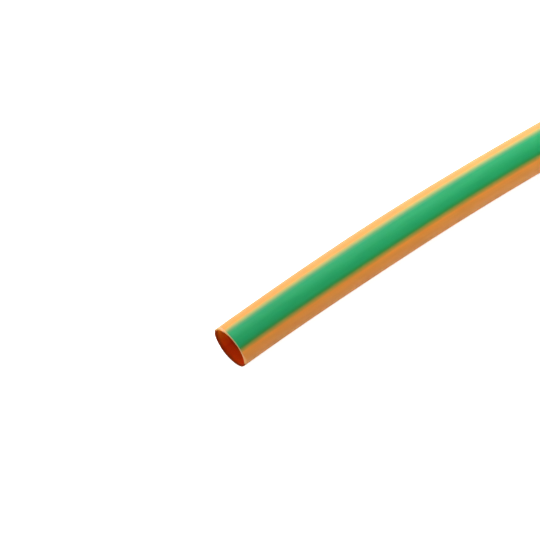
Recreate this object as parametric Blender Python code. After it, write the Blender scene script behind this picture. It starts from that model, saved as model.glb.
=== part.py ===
"""A cut length of two-colour heat shrink tube, as it lies by itself on a level floor.

The tube is one extruded piece: a thin round wall about an open bore, cut square at both ends. It keeps
the gentle bend of the reel that it came from. The bend lies flat in the floor plane, with its chord along
X and its outer side towards +Y. The origin is on the floor, under the middle of the tube's box.
"""

import math

import bmesh
import bpy
from mathutils import Matrix, Vector

# Driving dimensions, in metres
BORE_DIAMETER = 0.0127  # inside, as supplied, before it is shrunk
WALL = 0.00055
CUT_LENGTH = 0.150  # along the centreline
BEND_RADIUS = 1.08  # of the centreline, seen from above
BAND_WIDTH = 0.0076  # of one green band, round the outside

# The green bands round the tube
BAND_COUNT = 2
BAND_TURN = math.radians(14)  # from the top of the tube to the middle of the first band

# How finely the round forms are divided
FACETS_IN_BAND = 9  # which leaves a facet of the lower band flat on the floor
FACETS_IN_GAP = 16
STEP_LENGTH = 0.0075
SMOOTH_BELOW = math.radians(30)

# Colours as linear values, with roughness
BASE_COLOUR = (0.87, 0.32, 0.03)
BAND_COLOUR = (0.01, 0.31, 0.11)
ROUGHNESS = 0.55

# Sizes that follow from the driving dimensions
BORE_RADIUS = BORE_DIAMETER / 2
OUTER_RADIUS = BORE_RADIUS + WALL
HALF_BEND = CUT_LENGTH / BEND_RADIUS / 2
BEND_CENTRE = Vector((0, -BEND_RADIUS, 0))  # seen from the middle of the tube's centreline


def clear_scene():
    for old in list(bpy.data.objects):
        bpy.data.objects.remove(old, do_unlink=True)


def plastic(name, colour):
    """A semi-matt plastic of one colour."""
    material = bpy.data.materials.new(name)
    material.use_nodes = True
    shader = material.node_tree.nodes["Principled BSDF"]
    shader.inputs["Base Color"].default_value = (*colour, 1)
    shader.inputs["Roughness"].default_value = ROUGHNESS
    shader.inputs["Metallic"].default_value = 0
    material.diffuse_color = (*colour, 1)
    return material


def band_edges():
    """The two edges of each green band, as angles from the top of the tube towards the inside of the bend."""
    half_width = BAND_WIDTH / OUTER_RADIUS / 2
    middles = [BAND_TURN + 2 * math.pi * n / BAND_COUNT for n in range(BAND_COUNT)]
    return [(middle - half_width, middle + half_width) for middle in middles]


def corner_angles():
    """The angles of the section's corners. Each edge of a band falls on a corner."""
    edges = band_edges()
    angles = []
    for n, (start, end) in enumerate(edges):
        next_start = edges[n + 1][0] if n + 1 < BAND_COUNT else edges[0][0] + 2 * math.pi
        band_facet = (end - start) / FACETS_IN_BAND
        gap_facet = (next_start - end) / FACETS_IN_GAP
        angles += [start + band_facet * i for i in range(FACETS_IN_BAND)]
        angles += [end + gap_facet * i for i in range(FACETS_IN_GAP)]
    return angles


def add_ring(bm, radius):
    """A closed ring of edges, upright across the middle of the centreline."""
    corners = [
        bm.verts.new((0, -radius * math.sin(angle), radius * math.cos(angle)))
        for angle in corner_angles()
    ]
    return [bm.edges.new(pair) for pair in zip(corners, corners[1:] + corners[:1])]


def sweep_wall(bm):
    """The wall's section, stood at one end of the bend and spun about the bend's centre to the other."""
    rings = add_ring(bm, BORE_RADIUS) + add_ring(bm, OUTER_RADIUS)
    section = bmesh.ops.bridge_loops(bm, edges=rings)["faces"]
    bmesh.ops.rotate(
        bm, verts=bm.verts, cent=BEND_CENTRE, matrix=Matrix.Rotation(HALF_BEND, 3, "Z")
    )
    bmesh.ops.spin(
        bm,
        geom=section,
        cent=BEND_CENTRE,
        axis=(0, 0, 1),
        angle=-2 * HALF_BEND,
        steps=math.ceil(CUT_LENGTH / STEP_LENGTH),
    )
    bmesh.ops.recalc_face_normals(bm, faces=bm.faces)


def section_place(point):
    """Where a point lies in the tube's section: (distance from the centreline, angle from the top)."""
    from_centre = point - BEND_CENTRE
    inwards = BEND_RADIUS - math.hypot(from_centre.x, from_centre.y)
    return math.hypot(inwards, point.z), math.atan2(inwards, point.z)


def is_on_band(face):
    """True for a face of the outside that lies in a green band. The cut ends and the bore have no green."""
    distance, angle = section_place(face.calc_center_median())
    if distance < OUTER_RADIUS - WALL / 4:
        return False
    return any((angle - start) % (2 * math.pi) < end - start for start, end in band_edges())


def build_tube():
    mesh = bpy.data.meshes.new("heat_shrink_tube")
    mesh.materials.append(plastic("orange_yellow_polyolefin", BASE_COLOUR))
    mesh.materials.append(plastic("green_polyolefin", BAND_COLOUR))
    bm = bmesh.new()
    sweep_wall(bm)
    for face in bm.faces:
        face.material_index = int(is_on_band(face))
    bm.to_mesh(mesh)
    bm.free()
    mesh.shade_smooth()
    mesh.set_sharp_from_angle(angle=SMOOTH_BELOW)
    tube = bpy.data.objects.new("heat_shrink_tube", mesh)
    bpy.context.scene.collection.objects.link(tube)
    return tube


def lay_on_floor(tube):
    """Rests the tube on the floor, with the middle of its box over the origin."""
    places = [vertex.co for vertex in tube.data.vertices]
    low = Vector(min(place[axis] for place in places) for axis in range(3))
    high = Vector(max(place[axis] for place in places) for axis in range(3))
    tube.location = (-(low.x + high.x) / 2, -(low.y + high.y) / 2, -low.z)


def main():
    clear_scene()
    lay_on_floor(build_tube())


main()
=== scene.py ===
"""The looks of a two-colour heat shrink tube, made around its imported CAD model.

The tube is one soft plastic extrusion: orange-yellow all through its wall, with two green bands that are a
thin skin on its outside. Lengths are in metres, in the CAD model's frame. A place on the tube is given by
its distance along the centreline from the near end, and by its turn, the angle from the top, which grows
towards the inside of the bend.
"""

import math

import bpy
import numpy as np
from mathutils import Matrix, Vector


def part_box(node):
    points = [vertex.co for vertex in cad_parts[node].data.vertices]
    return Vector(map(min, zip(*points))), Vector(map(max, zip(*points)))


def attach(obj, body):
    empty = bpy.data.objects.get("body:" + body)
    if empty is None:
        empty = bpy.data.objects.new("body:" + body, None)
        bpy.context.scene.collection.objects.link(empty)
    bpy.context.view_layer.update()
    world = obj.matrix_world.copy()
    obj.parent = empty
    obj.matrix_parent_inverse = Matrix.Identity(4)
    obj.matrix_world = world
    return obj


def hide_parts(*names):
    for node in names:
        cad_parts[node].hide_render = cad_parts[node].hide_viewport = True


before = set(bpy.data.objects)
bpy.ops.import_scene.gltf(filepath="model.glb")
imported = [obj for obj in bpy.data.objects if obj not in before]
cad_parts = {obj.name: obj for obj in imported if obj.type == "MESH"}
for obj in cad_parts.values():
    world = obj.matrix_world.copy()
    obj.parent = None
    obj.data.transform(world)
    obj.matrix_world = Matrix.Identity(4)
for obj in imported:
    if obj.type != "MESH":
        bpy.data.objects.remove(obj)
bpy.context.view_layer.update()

# The CAD tube's driving dimensions
BORE_RADIUS = 0.00635
WALL = 0.00055
CUT_LENGTH = 0.150
BEND_RADIUS = 1.08
OUTER_RADIUS = BORE_RADIUS + WALL
HALF_BEND = CUT_LENGTH / BEND_RADIUS / 2

tube_low, tube_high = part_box("heat_shrink_tube")
AXIS_HEIGHT = tube_low.z + OUTER_RADIUS
BEND_CENTRE_Y = tube_high.y - OUTER_RADIUS - BEND_RADIUS

# The green bands, whose middle wanders a little round the tube
BAND_COUNT = 2
BAND_WIDTH = 0.00755
BAND_TURN = math.radians(14.2)
BAND_WANDER = math.radians(0.5)
WANDER_LENGTH = 0.104
WANDER_START = 0.002
BAND_RAISED = 0.00002
BAND_FEATHER = 0.0019  # over which the green's skin thins out
EDGE_WAVER = 0.00012  # how far a band's coloured edge wavers to each side

# The mesh. Its rows run round the wall lengthwise: along the outside, over a cut end, back through the bore
OUTSIDE, CUT, BORE = range(3)  # the materials
COLUMNS = 200
OUTSIDE_STEP = 0.00105
BORE_STEP = 0.0026
FIRST_STEP = 0.00012  # beside a cut end, where the rows lie closest
STEP_GROWTH = 1.22
LIP_OUTSIDE = 0.00010  # the rounding of the cut's outer edge
LIP_BORE = 0.00012
LIP_ROWS = 6
FACE_ROWS = 3

# The relief of the extrusion
SWELL = 0.000018  # slow changes of the radius along the length
DIE_LINES = 0.0000105  # fine ridges along the length
ECCENTRIC = 0.000018  # how far the bore lies off the tube's middle
ECCENTRIC_TURN = 2.2  # radians, where the wall is thinnest
OVAL = 0.055  # how far the soft wall has settled: as a share, so much wider and so much lower
OVAL_PLACE = 0.059  # along the tube, where it is most oval
OVAL_REACH = 0.037
SWAY = 0.00014  # how far the bend leaves its arc, outwards
SWAY_PLACE = 0.068
SWAY_REACH = 0.028
CUT_WAVE = 0.00005  # how far the knife's cut leaves its plane
CUT_REACH = 0.002  # along the tube, within which the uneven cut moves the rows
NEAR_SLANT = 0.0002  # how far the near cut leans in from square
NEAR_SLANT_TURN = math.radians(132)  # where it leans in most

# The random waves of that relief: (fewest and most ridges round the tube, how many waves are summed,
# shortest and longest stretch of the tube over which a wave sways round it and back)
SEED = 11
SWELL_WAVES = (0, 3, 8, (0.03, 0.09))
LINE_WAVES = (18, 60, 18, (0.05, 0.3))
KNIFE_WAVES = (1, 9, 10, (1, 2))
SWAYS = (0.3, 1.0)  # radians
PHASES = (0, 6.28)  # radians, about a full turn

# Colours, as linear values. A pair holds the two ends of a faint mottle
ORANGE = ((0.84, 0.284, 0.018), (0.90, 0.306, 0.022))
GREEN = ((0.004, 0.292, 0.100), (0.007, 0.314, 0.110))
PEACH = ((0.98, 0.45, 0.14), (1.0, 0.48, 0.17))  # the cut's lit side, paler than the orange: painted light
RIM_SHADE = (0.48, 0.30, 0.13)  # painted shade on the cut's edge along its narrowest stretch
RIM_HIGHLIGHT = (0.98, 0.40, 0.14)  # painted highlight on the outside's edge beside the cut
BROWN = (0.28, 0.050, 0.008)  # painted shade on the cut's lower side
# The bore's colours are painted light and shade on the orange plastic: its deep red stands for light
# bounced round inside it
BORE_RED = ((0.86, 0.078, 0.002), (0.94, 0.096, 0.003))
BORE_LIT = (1.0, 0.29, 0.006)
BORE_OPPOSITE_LIT = (1.0, 0.080, 0.001)
BORE_DEEP_SHADE = (0.47, 0.058, 0.002)
# painted shade in the bore beside each cut end
BORE_RIM_SHADE = (0.45, 0.06, 0.004)

# How the green runs out into the orange on a band's upper and lower side: where that starts, and then
# (distance from the band's edge, colour) up to where the orange is pure
# The upper side's paler colour is partly painted light, and the lower side's darker olive partly painted
# shade
UPPER_SIDE = (-0.0016, ((-0.0008, (0.075, 0.300, 0.098)), (0.0001, (0.36, 0.365, 0.080))))
LOWER_SIDE = (
    -0.0016,
    ((-0.0010, (0.004, 0.270, 0.070)), (-0.00055, (0.028, 0.238, 0.036)), (0.0, (0.23, 0.260, 0.036))),
)
SIDE_END = 0.0011

# Where the colours change round the tube, by how much a place faces a turn: 1 at that turn, 0 a quarter
# round from it and -1 opposite it
LOWER_TURN = BAND_TURN + math.pi / 2  # which the first band's lower side faces
LOWER_FACING = (-0.1, 0.1)  # from an upper side, with painted light, to a lower side, with painted shade
LIT_CUT_TURN = math.radians(13)  # where the painted light on the cut is brightest
LIT_CUT_FACING = (0.0, 0.3)  # from painted shade to painted light
NARROW_HIGHLIGHT_TURN = math.radians(18)  # where the painted highlight beside the cut is narrowest, and the cut's edge darkest
RIM_SHADE_FACING = (0.65, 0.95)  # from lit to painted shade
RIM_HIGHLIGHT_FACING = (0.95, 0.5)  # from the painted highlight's least width to its greatest
LIT_TURN = math.radians(-63)  # where most painted light falls on the bore, for light that comes through the wall
LIT_FACING = (0.1, 0.85)
# the second side with painted light
OPPOSITE_FACING = (0.0, -0.6)

# Where the colours change with the distance from a cut end
RIM_HIGHLIGHT_WIDTH = (0.00009, 0.00064)
RIM_HIGHLIGHT_END = (1.2, 0.8)  # the shares of its width between which the painted highlight starts
# how far the painted shade beside a cut end reaches into the bore
BORE_RIM_REACH = 0.0014
BORE_SHADE = (0.0032, 0.0048)  # where the bore turns from red to its painted shade deeper in

# Noise patterns: (how the unrolled place is scaled, the noise's scale, its detail). The smaller the last of
# the three, the further the pattern is drawn out along the tube
EDGE_PATTERN = ((OUTER_RADIUS, OUTER_RADIUS, 0.35), 1500, 3)
CLOUD_PATTERN = ((OUTER_RADIUS, OUTER_RADIUS, 0.12), 900, 4)
GRAIN_PATTERN = ((OUTER_RADIUS, OUTER_RADIUS, 0.5), 4000, 3)
LINE_PATTERN = ((OUTER_RADIUS, OUTER_RADIUS, 0.012), 5200, 3)
STREAK_PATTERN = ((OUTER_RADIUS, OUTER_RADIUS * 0.2, 1), 6000, 3)
BORE_CLOUD_PATTERN = ((BORE_RADIUS, BORE_RADIUS, 0.1), 900, 4)
BORE_LINE_PATTERN = ((BORE_RADIUS, BORE_RADIUS, 0.012), 5200, 3)
NOISE_SPAN = (0.3, 0.7)  # the noise's values between which a mottle changes
GRAIN_HEIGHT = 0.000006
LINE_HEIGHT = 0.000008
STREAK_HEIGHT = 0.00001

# What the plastic does with light
SOFT = {
    "Specular_IOR_Level": 0.5,
    "Subsurface_Weight": 0.35,
    "Subsurface_Radius": (1.0, 0.3, 0.07),
    "Subsurface_Scale": 0.0010,
}
OUTSIDE_GLOSS = {**SOFT, "Sheen_Weight": 0.4, "Sheen_Roughness": 0.35}
OUTSIDE_ROUGHNESS = (0.50, 0.60)
CUT_GLOSS = {**SOFT, "Specular_IOR_Level": 0.1, "Roughness": 0.7}
BORE_GLOSS = {**SOFT, "Specular_IOR_Level": 0.1, "Roughness": 0.5, "Subsurface_Weight": 0.5}

# The camera, at the photo's viewing angle
MOUTH_HEADING = math.radians(40.30)  # of the tube at its near end, from the camera's right towards away
MOUTH_RIGHT = -0.01190  # from the point on the floor that the camera looks at to below the near end
MOUTH_AWAY = -0.03156
CAMERA_ELEVATION = math.radians(57.52)
CAMERA_DISTANCE = 0.8631
CAMERA_VIEW_ANGLE = math.radians(10.829)
CAMERA_AZIMUTH = HALF_BEND - MOUTH_HEADING
RIGHT = Vector((math.cos(CAMERA_AZIMUTH), math.sin(CAMERA_AZIMUTH), 0))
AWAY = Vector((-math.sin(CAMERA_AZIMUTH), math.cos(CAMERA_AZIMUTH), 0))

# The floor and the room
WHITE = (1, 1, 1, 1)
FLOOR_HALF = 3.0
FLOOR_COLOUR = (0.85, 0.85, 0.85, 1)
FLOOR_ROUGHNESS = 0.9
FLOOR_LIFT = 0.9  # glow of the floor in the picture alone, which keeps it white
ROOM_LIGHT = 0.2


def below_tube(along):
    """The point on the floor below the centreline."""
    heading = along / BEND_RADIUS - HALF_BEND
    return Vector((BEND_RADIUS * math.sin(heading), BEND_CENTRE_Y + BEND_RADIUS * math.cos(heading), 0))


MOUTH = below_tube(0)
SEEN_END = below_tube(0.115)  # where the picture's edge cuts the tube off
KEY_AIM = below_tube(0.19)  # past the far end, so that the light falls off towards the mouth
CAMERA_TARGET = MOUTH - RIGHT * MOUTH_RIGHT - AWAY * MOUTH_AWAY


class Shader:
    """A node material that is built from short calls."""

    def __init__(self, name):
        self.material = bpy.data.materials.new(name)
        self.material.use_nodes = True
        self.tree = self.material.node_tree
        self.principled = self.tree.nodes["Principled BSDF"]

    def feed(self, socket, value):
        if isinstance(value, bpy.types.NodeSocket):
            self.tree.links.new(value, socket)
        else:
            socket.default_value = value

    def add(self, kind, *inputs, **settings):
        node = self.tree.nodes.new(kind)
        for key, value in settings.items():
            setattr(node, key, value)
        for socket, value in zip(node.inputs, inputs):
            self.feed(socket, value)
        return node

    def math(self, operation, *values):
        return self.add("ShaderNodeMath", *values, operation=operation).outputs[0]

    def attribute(self, name, output):
        return self.add("ShaderNodeAttribute", attribute_name=name).outputs[output]

    def facing(self, place, turn):
        """1 at this turn, and -1 opposite it."""
        side = (math.sin(turn), math.cos(turn), 0)
        return self.add("ShaderNodeVectorMath", place, side, operation="DOT_PRODUCT").outputs["Value"]

    def from_end(self, place):
        """The distance from the nearer cut end."""
        along = self.add("ShaderNodeSeparateXYZ", place).outputs["Z"]
        return self.math("PINGPONG", along, CUT_LENGTH / 2)

    def noise(self, place, stretch, scale, detail):
        """A noise pattern on the unrolled place."""
        stretched = self.add("ShaderNodeVectorMath", place, stretch, operation="MULTIPLY").outputs[0]
        node = self.add("ShaderNodeTexNoise")
        self.feed(node.inputs["Vector"], stretched)
        self.feed(node.inputs["Scale"], scale)
        self.feed(node.inputs["Detail"], detail)
        return node.outputs["Fac"]

    def ramp(self, value, low, high, start=0.0, end=1.0, smooth=False):
        node = self.add("ShaderNodeMapRange", value, low, high, start, end)
        node.interpolation_type = "SMOOTHSTEP" if smooth else "LINEAR"
        return node.outputs[0]

    def mix(self, amount, first, second):
        """A mix of two colours, which are the node's inputs 6 and 7 and its output 2."""
        node = self.add("ShaderNodeMix", data_type="RGBA")
        self.feed(node.inputs[0], amount)
        for socket, colour in zip(node.inputs[6:8], (first, second)):
            self.feed(socket, colour if isinstance(colour, bpy.types.NodeSocket) else (*colour, 1))
        return node.outputs[2]

    def bump(self, height, distance, normal=None):
        node = self.add("ShaderNodeBump")
        self.feed(node.inputs["Strength"], 1.0)
        self.feed(node.inputs["Distance"], distance)
        self.feed(node.inputs["Height"], height)
        if normal is not None:
            self.feed(node.inputs["Normal"], normal)
        return node.outputs[0]

    def finish(self, **values):
        for name, value in values.items():
            self.feed(self.principled.inputs[name.replace("_", " ")], value)
        return self.material


def lit_cut_share(shader, place):
    """1 where the cut is pale with painted light."""
    return shader.ramp(shader.facing(place, LIT_CUT_TURN), *LIT_CUT_FACING)


def rim_shaded(shader, place, colour):
    """The colour of the cut's edge, with painted shade along its narrowest stretch."""
    return shader.mix(shader.ramp(shader.facing(place, NARROW_HIGHLIGHT_TURN), *RIM_SHADE_FACING), colour, RIM_SHADE)


def fading(shader, from_edge, green, side, orange):
    """The green of a band as it runs out into the orange on one side."""
    colour = green
    start, stops = side
    for end, next_colour in (*stops, (SIDE_END, orange)):
        colour = shader.mix(shader.ramp(from_edge, start, end), colour, next_colour)
        start = end
    return colour


def outside_material():
    """Orange-yellow plastic with the green bands on it."""
    shader = Shader("tube_outside")
    place = shader.attribute("unrolled", "Vector")
    waver = shader.math("MULTIPLY_ADD", shader.noise(place, *EDGE_PATTERN), 2 * EDGE_WAVER, -EDGE_WAVER)
    from_edge = shader.math("ADD", shader.attribute("from_band", "Fac"), waver)
    cloud = shader.ramp(shader.noise(place, *CLOUD_PATTERN), *NOISE_SPAN)
    orange = shader.mix(cloud, *ORANGE)
    green = shader.mix(cloud, *GREEN)
    sides = [fading(shader, from_edge, green, side, orange) for side in (UPPER_SIDE, LOWER_SIDE)]
    # Painted light on the bands' upper sides and painted shade on their lower sides
    colour = shader.mix(shader.ramp(shader.facing(place, LOWER_TURN), *LOWER_FACING), *sides)

    # A painted highlight along the outside's edge beside each cut, where the cut is lit
    width = shader.ramp(shader.facing(place, NARROW_HIGHLIGHT_TURN), *RIM_HIGHLIGHT_FACING, *RIM_HIGHLIGHT_WIDTH)
    rim_highlight = shader.ramp(shader.math("DIVIDE", shader.from_end(place), width), *RIM_HIGHLIGHT_END)
    rim_highlight = shader.math("MULTIPLY", rim_highlight, lit_cut_share(shader, place))
    colour = shader.mix(rim_highlight, colour, rim_shaded(shader, place, RIM_HIGHLIGHT))

    grain = shader.noise(place, *GRAIN_PATTERN)
    band = shader.ramp(from_edge, BAND_FEATHER / 2, -BAND_FEATHER / 2)
    normal = shader.bump(band, BAND_RAISED)
    normal = shader.bump(shader.noise(place, *LINE_PATTERN), LINE_HEIGHT, normal)
    normal = shader.bump(grain, GRAIN_HEIGHT, normal)
    roughness = shader.ramp(grain, *NOISE_SPAN, *OUTSIDE_ROUGHNESS)
    return shader.finish(Base_Color=colour, Roughness=roughness, Normal=normal, **OUTSIDE_GLOSS)


def cut_material():
    """The knife's cut through the wall."""
    shader = Shader("tube_cut")
    place = shader.attribute("unrolled", "Vector")
    streaks = shader.noise(place, *STREAK_PATTERN)
    # Painted light on the cut's upper side, and painted shade on its lower side
    lit_cut_colour = rim_shaded(shader, place, shader.mix(streaks, *PEACH))
    colour = shader.mix(lit_cut_share(shader, place), BROWN, lit_cut_colour)
    return shader.finish(Base_Color=colour, Normal=shader.bump(streaks, STREAK_HEIGHT), **CUT_GLOSS)


def bore_material():
    """Painted light and shade: red from the light that the wall lets through, on two sides more than
    between them.
    """
    shader = Shader("tube_bore")
    place = shader.attribute("unrolled", "Vector")
    colour = shader.mix(shader.noise(place, *BORE_CLOUD_PATTERN), *BORE_RED)
    side = shader.facing(place, LIT_TURN)
    colour = shader.mix(shader.ramp(side, *LIT_FACING), colour, BORE_LIT)
    colour = shader.mix(shader.ramp(side, *OPPOSITE_FACING), colour, BORE_OPPOSITE_LIT)
    from_end = shader.from_end(place)
    colour = shader.mix(shader.ramp(from_end, *BORE_SHADE), colour, BORE_DEEP_SHADE)
    colour = shader.mix(shader.ramp(from_end, 0, BORE_RIM_REACH, smooth=True), BORE_RIM_SHADE, colour)
    normal = shader.bump(shader.noise(place, *BORE_LINE_PATTERN), LINE_HEIGHT)
    return shader.finish(Base_Color=colour, Normal=normal, **BORE_GLOSS)


def stations(first, last, step):
    """Distances from first to last, close together beside both and a step apart between them."""
    gaps = []
    gap = FIRST_STEP
    while gap < step:
        gaps.append(gap)
        gap *= STEP_GROWTH
    middle = last - first - 2 * sum(gaps)
    count = math.ceil(middle / step)
    gaps = gaps + [middle / count] * count + gaps[::-1]
    return first + np.concatenate([[0], np.cumsum(gaps)])


def lip(end, inwards):
    """The rows over one cut end, from the outside to the bore: (distance along, depth in the wall)."""
    angles = [math.pi / 2 * n / LIP_ROWS for n in range(1, LIP_ROWS + 1)]
    flat = WALL - LIP_OUTSIDE - LIP_BORE
    rows = [
        (end + inwards * LIP_OUTSIDE * (1 - math.sin(angle)), LIP_OUTSIDE * (1 - math.cos(angle)))
        for angle in angles
    ]
    rows += [(end, LIP_OUTSIDE + flat * n / FACE_ROWS) for n in range(1, FACE_ROWS + 1)]
    rows += [
        (end + inwards * LIP_BORE * (1 - math.cos(angle)), WALL - LIP_BORE * (1 - math.sin(angle)))
        for angle in angles[:-1]
    ]
    return rows


def wall_rows():
    """The whole path round the wall lengthwise, and the material of the faces after each row."""
    outside = [(along, 0.0) for along in stations(LIP_OUTSIDE, CUT_LENGTH - LIP_OUTSIDE, OUTSIDE_STEP)]
    far = lip(CUT_LENGTH, -1)
    bore = [(along, WALL) for along in stations(LIP_BORE, CUT_LENGTH - LIP_BORE, BORE_STEP)][::-1]
    near = lip(0.0, 1)[::-1]
    kinds = [OUTSIDE] * (len(outside) - 1) + [CUT] * (len(far) + 1)
    kinds += [BORE] * (len(bore) - 1) + [CUT] * (len(near) + 1)
    return np.array(outside + far + bore + near), kinds


def waves(turn, along, rng, fewest, most, count, lengths):
    """A smooth random relief from -1 to 1, closed round the tube."""
    total = np.zeros(np.broadcast(turn, along).shape)
    for _ in range(count):
        ridges = rng.integers(fewest, most + 1)
        reach, length, phase = rng.uniform(*SWAYS), rng.uniform(*lengths), rng.uniform(*PHASES)
        drift = reach * np.sin(math.tau * along / length + phase)
        total += np.cos(ridges * turn + rng.uniform(*PHASES) + drift)
    return total / count


def hump(along, place, reach):
    """1 at one place along the tube, and less the further from it."""
    return np.exp(-(((along - place) / reach) ** 2))


def band_distance(turn, along):
    """The distance round the outside from the nearer edge of a green band, negative on the band."""
    middle = BAND_TURN + BAND_WANDER * np.sin(math.tau * (along - WANDER_START) / WANDER_LENGTH)
    half_pitch = math.pi / BAND_COUNT
    off_middle = np.abs((turn - middle + half_pitch) % (2 * half_pitch) - half_pitch)
    return off_middle * OUTER_RADIUS - BAND_WIDTH / 2


def wall_radius(turn, along, depth, from_band, rng):
    """The distance from the centreline, with the relief of the outside and of the bore."""
    edge = np.clip(0.5 - from_band / BAND_FEATHER, 0, 1)
    band = edge * edge * (3 - 2 * edge)
    swell = SWELL * waves(turn, along, rng, *SWELL_WAVES)
    outside = DIE_LINES * waves(turn, along, rng, *LINE_WAVES) + BAND_RAISED * (band - 1)
    bore = DIE_LINES * waves(turn, along, rng, *LINE_WAVES) + ECCENTRIC * np.cos(turn - ECCENTRIC_TURN)
    share = depth / WALL
    return OUTER_RADIUS - depth + swell + (1 - share) * outside + share * bore


def cut_shift(turn, along, rng):
    """How far the uneven cuts move the rows beside them along the tube."""
    everywhere = np.zeros_like(along)
    near = CUT_WAVE * waves(turn, everywhere, rng, *KNIFE_WAVES)
    near = near + NEAR_SLANT * np.cos(turn - NEAR_SLANT_TURN)
    far = CUT_WAVE * waves(turn, everywhere, rng, *KNIFE_WAVES)
    return near * np.exp(-along / CUT_REACH) + far * np.exp(-(CUT_LENGTH - along) / CUT_REACH)


def tube_points(rows):
    """Each row's ring of points, with each point's unrolled place and its distance from a band.

    The unrolled place is (sine of the turn, cosine of the turn, distance along).
    """
    rng = np.random.default_rng(SEED)
    turn = np.arange(COLUMNS)[None, :] * math.tau / COLUMNS
    along = rows[:, :1]
    from_band = band_distance(turn, along)
    radius = wall_radius(turn, along, rows[:, 1:], from_band, rng)
    shifted = along + cut_shift(turn, along, rng)
    heading = shifted / BEND_RADIUS - HALF_BEND
    oval = OVAL * hump(along, OVAL_PLACE, OVAL_REACH)
    sway = SWAY * hump(along, SWAY_PLACE, SWAY_REACH)
    outwards = BEND_RADIUS + sway - radius * (1 + oval) * np.sin(turn)
    x = outwards * np.sin(heading)
    y = BEND_CENTRE_Y + outwards * np.cos(heading)
    z = AXIS_HEIGHT + (radius * np.cos(turn) - oval * OUTER_RADIUS) * (1 - oval)
    points = np.stack([x, y, np.maximum(z, tube_low.z)], axis=-1)
    unrolled = np.stack(np.broadcast_arrays(np.sin(turn), np.cos(turn), shifted), axis=-1)
    return points.reshape(-1, 3), unrolled.reshape(-1, 3), from_band.ravel()


def make_tube():
    rows, kinds = wall_rows()
    points, unrolled, from_band = tube_points(rows)
    faces = []
    materials = []
    for row, kind in enumerate(kinds):
        here = row * COLUMNS
        there = (row + 1) % len(rows) * COLUMNS
        for column in range(COLUMNS):
            beside = (column + 1) % COLUMNS
            faces.append((here + column, here + beside, there + beside, there + column))
            materials.append(kind)
    mesh = bpy.data.meshes.new("tube_skin")
    mesh.from_pydata(points, [], faces)
    for material in (outside_material(), cut_material(), bore_material()):
        mesh.materials.append(material)
    mesh.polygons.foreach_set("material_index", materials)
    mesh.attributes.new("unrolled", "FLOAT_VECTOR", "POINT").data.foreach_set("vector", unrolled.ravel())
    mesh.attributes.new("from_band", "FLOAT", "POINT").data.foreach_set("value", from_band)
    mesh.update()
    mesh.shade_smooth()
    tube = bpy.data.objects.new("tube_skin", mesh)
    bpy.context.scene.collection.objects.link(tube)
    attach(tube, "root")
    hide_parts("heat_shrink_tube")


def make_floor():
    mesh = bpy.data.meshes.new("floor")
    corners = [(x * FLOOR_HALF, y * FLOOR_HALF, 0) for x, y in ((-1, -1), (1, -1), (1, 1), (-1, 1))]
    mesh.from_pydata(corners, [], [(0, 1, 2, 3)])
    shader = Shader("floor")
    in_picture = shader.add("ShaderNodeLightPath").outputs["Is Camera Ray"]
    mesh.materials.append(shader.finish(
        Base_Color=FLOOR_COLOUR,
        Roughness=FLOOR_ROUGHNESS,
        Specular_IOR_Level=0.0,
        Emission_Color=WHITE,
        Emission_Strength=shader.ramp(in_picture, 0, 1, 0, FLOOR_LIFT),
    ))
    floor = bpy.data.objects.new("floor", mesh)
    bpy.context.scene.collection.objects.link(floor)


def place_camera():
    data = bpy.data.cameras.new("camera")
    data.angle = CAMERA_VIEW_ANGLE
    camera = bpy.data.objects.new("camera", data)
    bpy.context.scene.collection.objects.link(camera)
    view = AWAY * math.cos(CAMERA_ELEVATION) - Vector((0, 0, math.sin(CAMERA_ELEVATION)))
    camera.location = CAMERA_TARGET - view * CAMERA_DISTANCE
    camera.rotation_euler = view.to_track_quat("-Z", "Y").to_euler()
    bpy.context.scene.camera = camera


def add_softbox(name, aim, azimuth, elevation, distance, size, radiance, colour=(1, 1, 1)):
    """A square soft light. Azimuth 0 is on the +Y side of its aim, and 90 on the -X side."""
    data = bpy.data.lights.new(name, "AREA")
    data.size = size
    data.color = colour
    data.energy = radiance * math.pi * size**2
    light = bpy.data.objects.new(name, data)
    bpy.context.scene.collection.objects.link(light)
    azimuth, elevation = math.radians(azimuth), math.radians(elevation)
    flat = Vector((-math.sin(azimuth), math.cos(azimuth), 0))
    place = flat * math.cos(elevation) + Vector((0, 0, math.sin(elevation)))
    light.location = aim + place * distance
    light.rotation_euler = (-place).to_track_quat("-Z", "Y").to_euler()
    return light


def light_room():
    """An evenly lit room, which is white in the picture."""
    world = bpy.data.worlds.new("world")
    world.use_nodes = True
    tree = world.node_tree
    background = tree.nodes["Background"]
    background.inputs["Color"].default_value = WHITE
    strength = tree.nodes.new("ShaderNodeMapRange")
    strength.inputs["To Min"].default_value = ROOM_LIGHT
    strength.inputs["To Max"].default_value = 1
    tree.links.new(tree.nodes.new("ShaderNodeLightPath").outputs["Is Camera Ray"], strength.inputs["Value"])
    tree.links.new(strength.outputs[0], background.inputs["Strength"])
    bpy.context.scene.world = world
    bpy.context.scene.view_settings.view_transform = "Standard"


def light_tube():
    key = add_softbox(
        "key_softbox", KEY_AIM, azimuth=-15, elevation=76, distance=0.38, size=0.29, radiance=6.7,
        colour=(1.0, 1.0, 0.91),
    )
    key.visible_glossy = False  # a polarised light, whose gloss the photo doesn't show
    add_softbox("gloss_softbox", SEEN_END, azimuth=-18, elevation=60, distance=0.6, size=0.36, radiance=2.1)
    add_softbox(
        "back_softbox", SEEN_END, azimuth=-20, elevation=15, distance=0.6, size=0.36, radiance=2.6,
        colour=(0.76, 1.0, 1.85),
    )
    add_softbox(
        "fill_softbox", SEEN_END, azimuth=215, elevation=5, distance=0.9, size=0.68, radiance=0.65,
        colour=(1.0, 0.96, 0.70),
    )
    add_softbox("side_softbox", MOUTH, azimuth=75, elevation=27, distance=0.6, size=0.3, radiance=4.9)


make_tube()
make_floor()
place_camera()
light_room()
light_tube()
